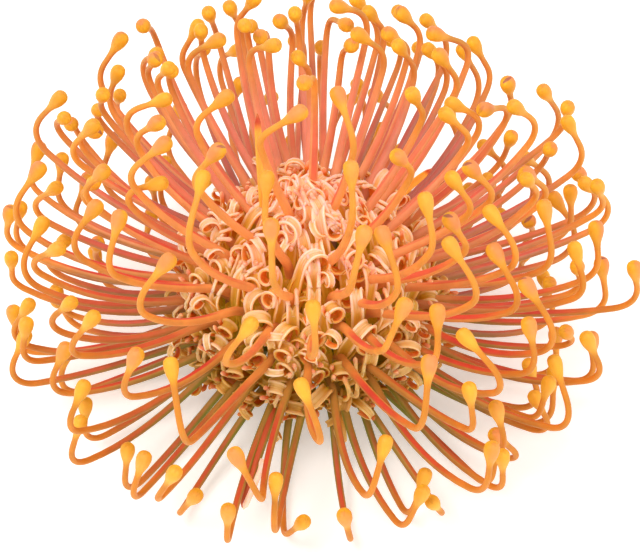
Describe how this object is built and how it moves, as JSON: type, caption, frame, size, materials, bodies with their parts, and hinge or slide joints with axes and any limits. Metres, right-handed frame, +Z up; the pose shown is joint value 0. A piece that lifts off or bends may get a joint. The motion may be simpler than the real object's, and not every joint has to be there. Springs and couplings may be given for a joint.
{
  "type": "pincushion protea flower head",
  "caption": "Cut pincushion protea flower head: a dome of curled perianths on a woody core, with long hooked styles that end in yellow pollen presenters; stands on its cut stalk.",
  "frame": {"origin": "on the surface that the head stands on, under the middle of its outline: the cut end of the stalk is at z = 0", "axes": "+Z up along the head's own axis, +X and +Y level; the head is round about +Z, so X and Y are free choices"},
  "size_m": [0.1088, 0.1056, 0.0675],
  "materials": {
    "green_stalk": "matte",
    "bract_leaf": "matte",
    "crown_florets": "satin",
    "shoulder_florets": "satin",
    "lower_florets": "satin"
  },
  "bodies": {
    "root": {"stalk_and_receptacle": "green_stalk", "florets_ring1_group1": "crown_florets", "florets_ring2_group1": "crown_florets", "florets_ring2_group2": "crown_florets", "florets_ring2_group3": "crown_florets", "florets_ring3_group1": "crown_florets", "florets_ring3_group2": "crown_florets", "florets_ring3_group3": "crown_florets", "florets_ring3_group4": "crown_florets", "florets_ring3_group5": "crown_florets", "florets_ring4_group1": "shoulder_florets", "florets_ring4_group2": "shoulder_florets", "florets_ring4_group3": "shoulder_florets", "florets_ring4_group4": "shoulder_florets", "florets_ring4_group5": "shoulder_florets", "florets_ring4_group6": "shoulder_florets", "florets_ring4_group7": "shoulder_florets", "florets_ring5_group1": "shoulder_florets", "florets_ring5_group2": "shoulder_florets", "florets_ring5_group3": "shoulder_florets", "florets_ring5_group4": "shoulder_florets", "florets_ring5_group5": "shoulder_florets", "florets_ring5_group6": "shoulder_florets", "florets_ring5_group7": "shoulder_florets", "florets_ring5_group8": "shoulder_florets", "florets_ring6_group1": "lower_florets", "florets_ring6_group2": "lower_florets", "florets_ring6_group3": "lower_florets", "florets_ring6_group4": "lower_florets", "florets_ring6_group5": "lower_florets", "florets_ring6_group6": "lower_florets", "florets_ring6_group7": "lower_florets", "florets_ring6_group8": "lower_florets", "florets_ring7_group1": "lower_florets", "florets_ring7_group2": "lower_florets", "florets_ring7_group3": "lower_florets", "florets_ring7_group4": "lower_florets", "florets_ring7_group5": "lower_florets", "florets_ring7_group6": "lower_florets", "florets_ring7_group7": "lower_florets", "florets_ring7_group8": "lower_florets", "florets_ring8_group1": "lower_florets", "florets_ring8_group2": "lower_florets", "florets_ring8_group3": "lower_florets", "florets_ring8_group4": "lower_florets", "florets_ring8_group5": "lower_florets", "florets_ring8_group6": "lower_florets", "florets_ring8_group7": "lower_florets", "florets_ring8_group8": "lower_florets", "bract_1": "bract_leaf", "bract_2": "bract_leaf", "bract_3": "bract_leaf", "bract_4": "bract_leaf", "bract_5": "bract_leaf", "bract_6": "bract_leaf", "bract_7": "bract_leaf", "bract_8": "bract_leaf", "bract_9": "bract_leaf", "bract_10": "bract_leaf", "bract_11": "bract_leaf"}
  },
  "joints": []
}
